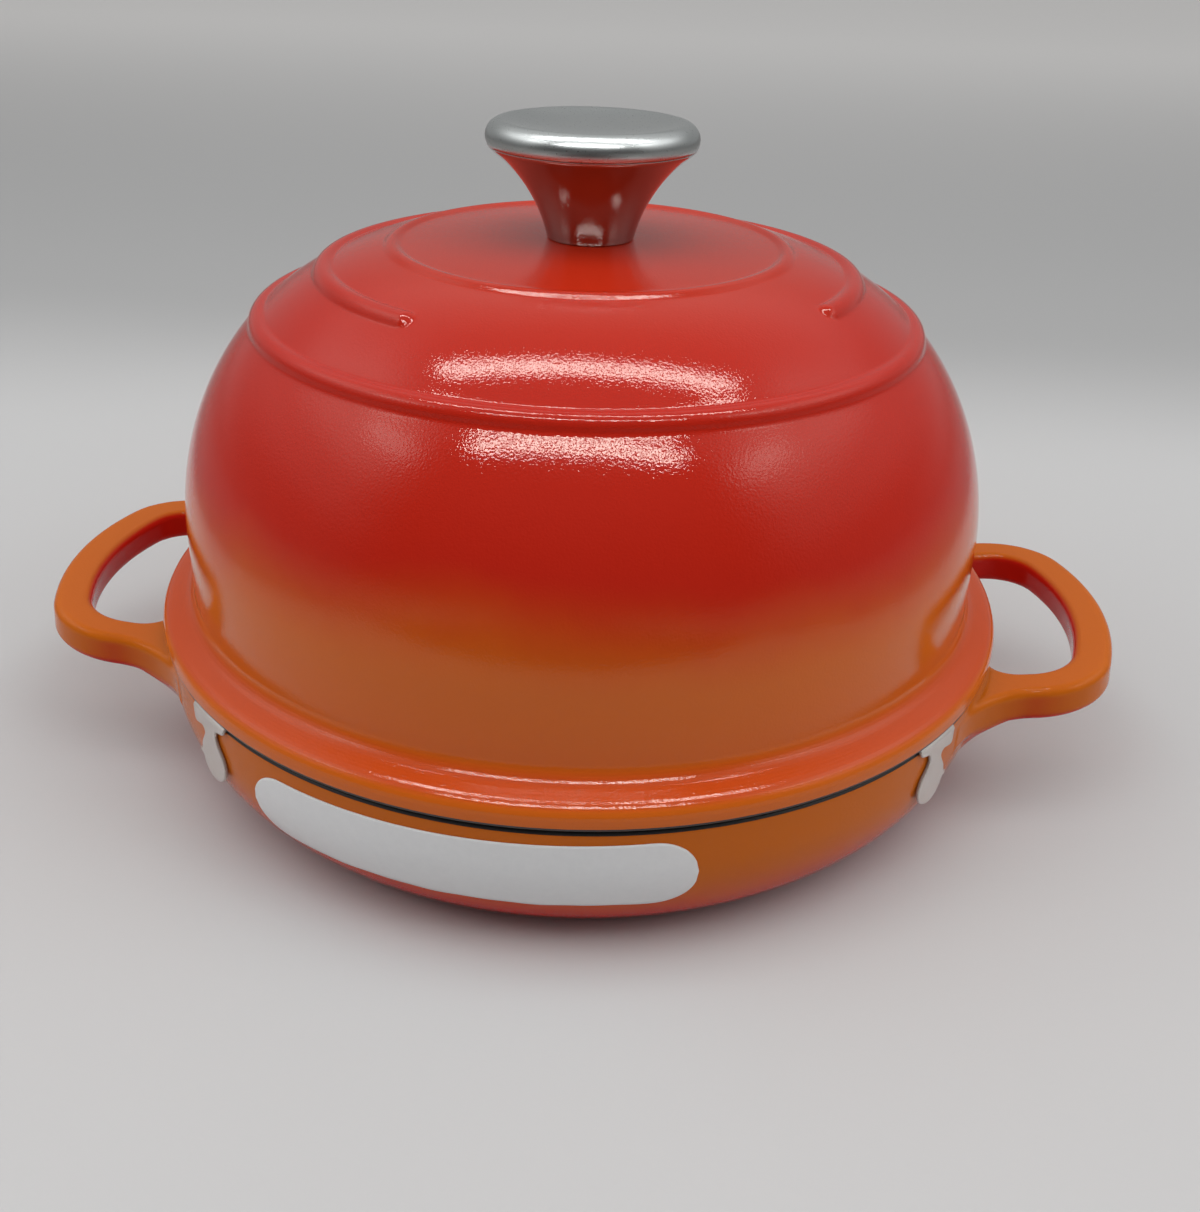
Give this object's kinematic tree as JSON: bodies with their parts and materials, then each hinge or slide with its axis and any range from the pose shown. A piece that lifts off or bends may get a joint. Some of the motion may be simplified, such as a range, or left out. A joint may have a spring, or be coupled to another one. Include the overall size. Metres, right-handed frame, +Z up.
{
  "type": "cast iron bread pan",
  "caption": "Enamelled cast iron bread pan: a shallow base with loop handles, and a tall domed lid with a flanged rim, raised rings and a steel knob.",
  "frame": {"origin": "centre of the foot, on the table", "axes": "+Z up, along the knob's axis; X through the middles of both handles; -Y towards the side with the label"},
  "size_m": [0.3352, 0.26, 0.1868],
  "materials": {
    "orange_enamel": "glossy enamel outside, orange at the rim and redder below, black matte enamel inside",
    "red_enamel": "glossy enamel outside, red on the dome and orange towards the flange, black matte enamel inside",
    "polished_steel": "mirror polished stainless steel",
    "satin_steel": "satin stainless steel",
    "fastener_steel": "plain machined steel",
    "clip_plastic": "soft frosted plastic",
    "label_paper": "smooth coated paper, blank"
  },
  "bodies": {
    "base": {"pan_base": "orange_enamel", "clip_front_left": "clip_plastic", "clip_front_right": "clip_plastic", "clip_back_left": "clip_plastic", "clip_back_right": "clip_plastic", "front_label": "label_paper"},
    "lid": {"dome_lid": "red_enamel", "knob_stem": "polished_steel", "knob_cap": "satin_steel", "knob_core": "fastener_steel", "knob_screw": "fastener_steel", "flat_washer": "fastener_steel", "spring_washer": "fastener_steel"}
  },
  "joints": [
    {"name": "lid_lift", "type": "slide", "parent": "base", "child": "lid", "axis": [0, 0, 1], "range_m": [0, 0.15]}
  ]
}
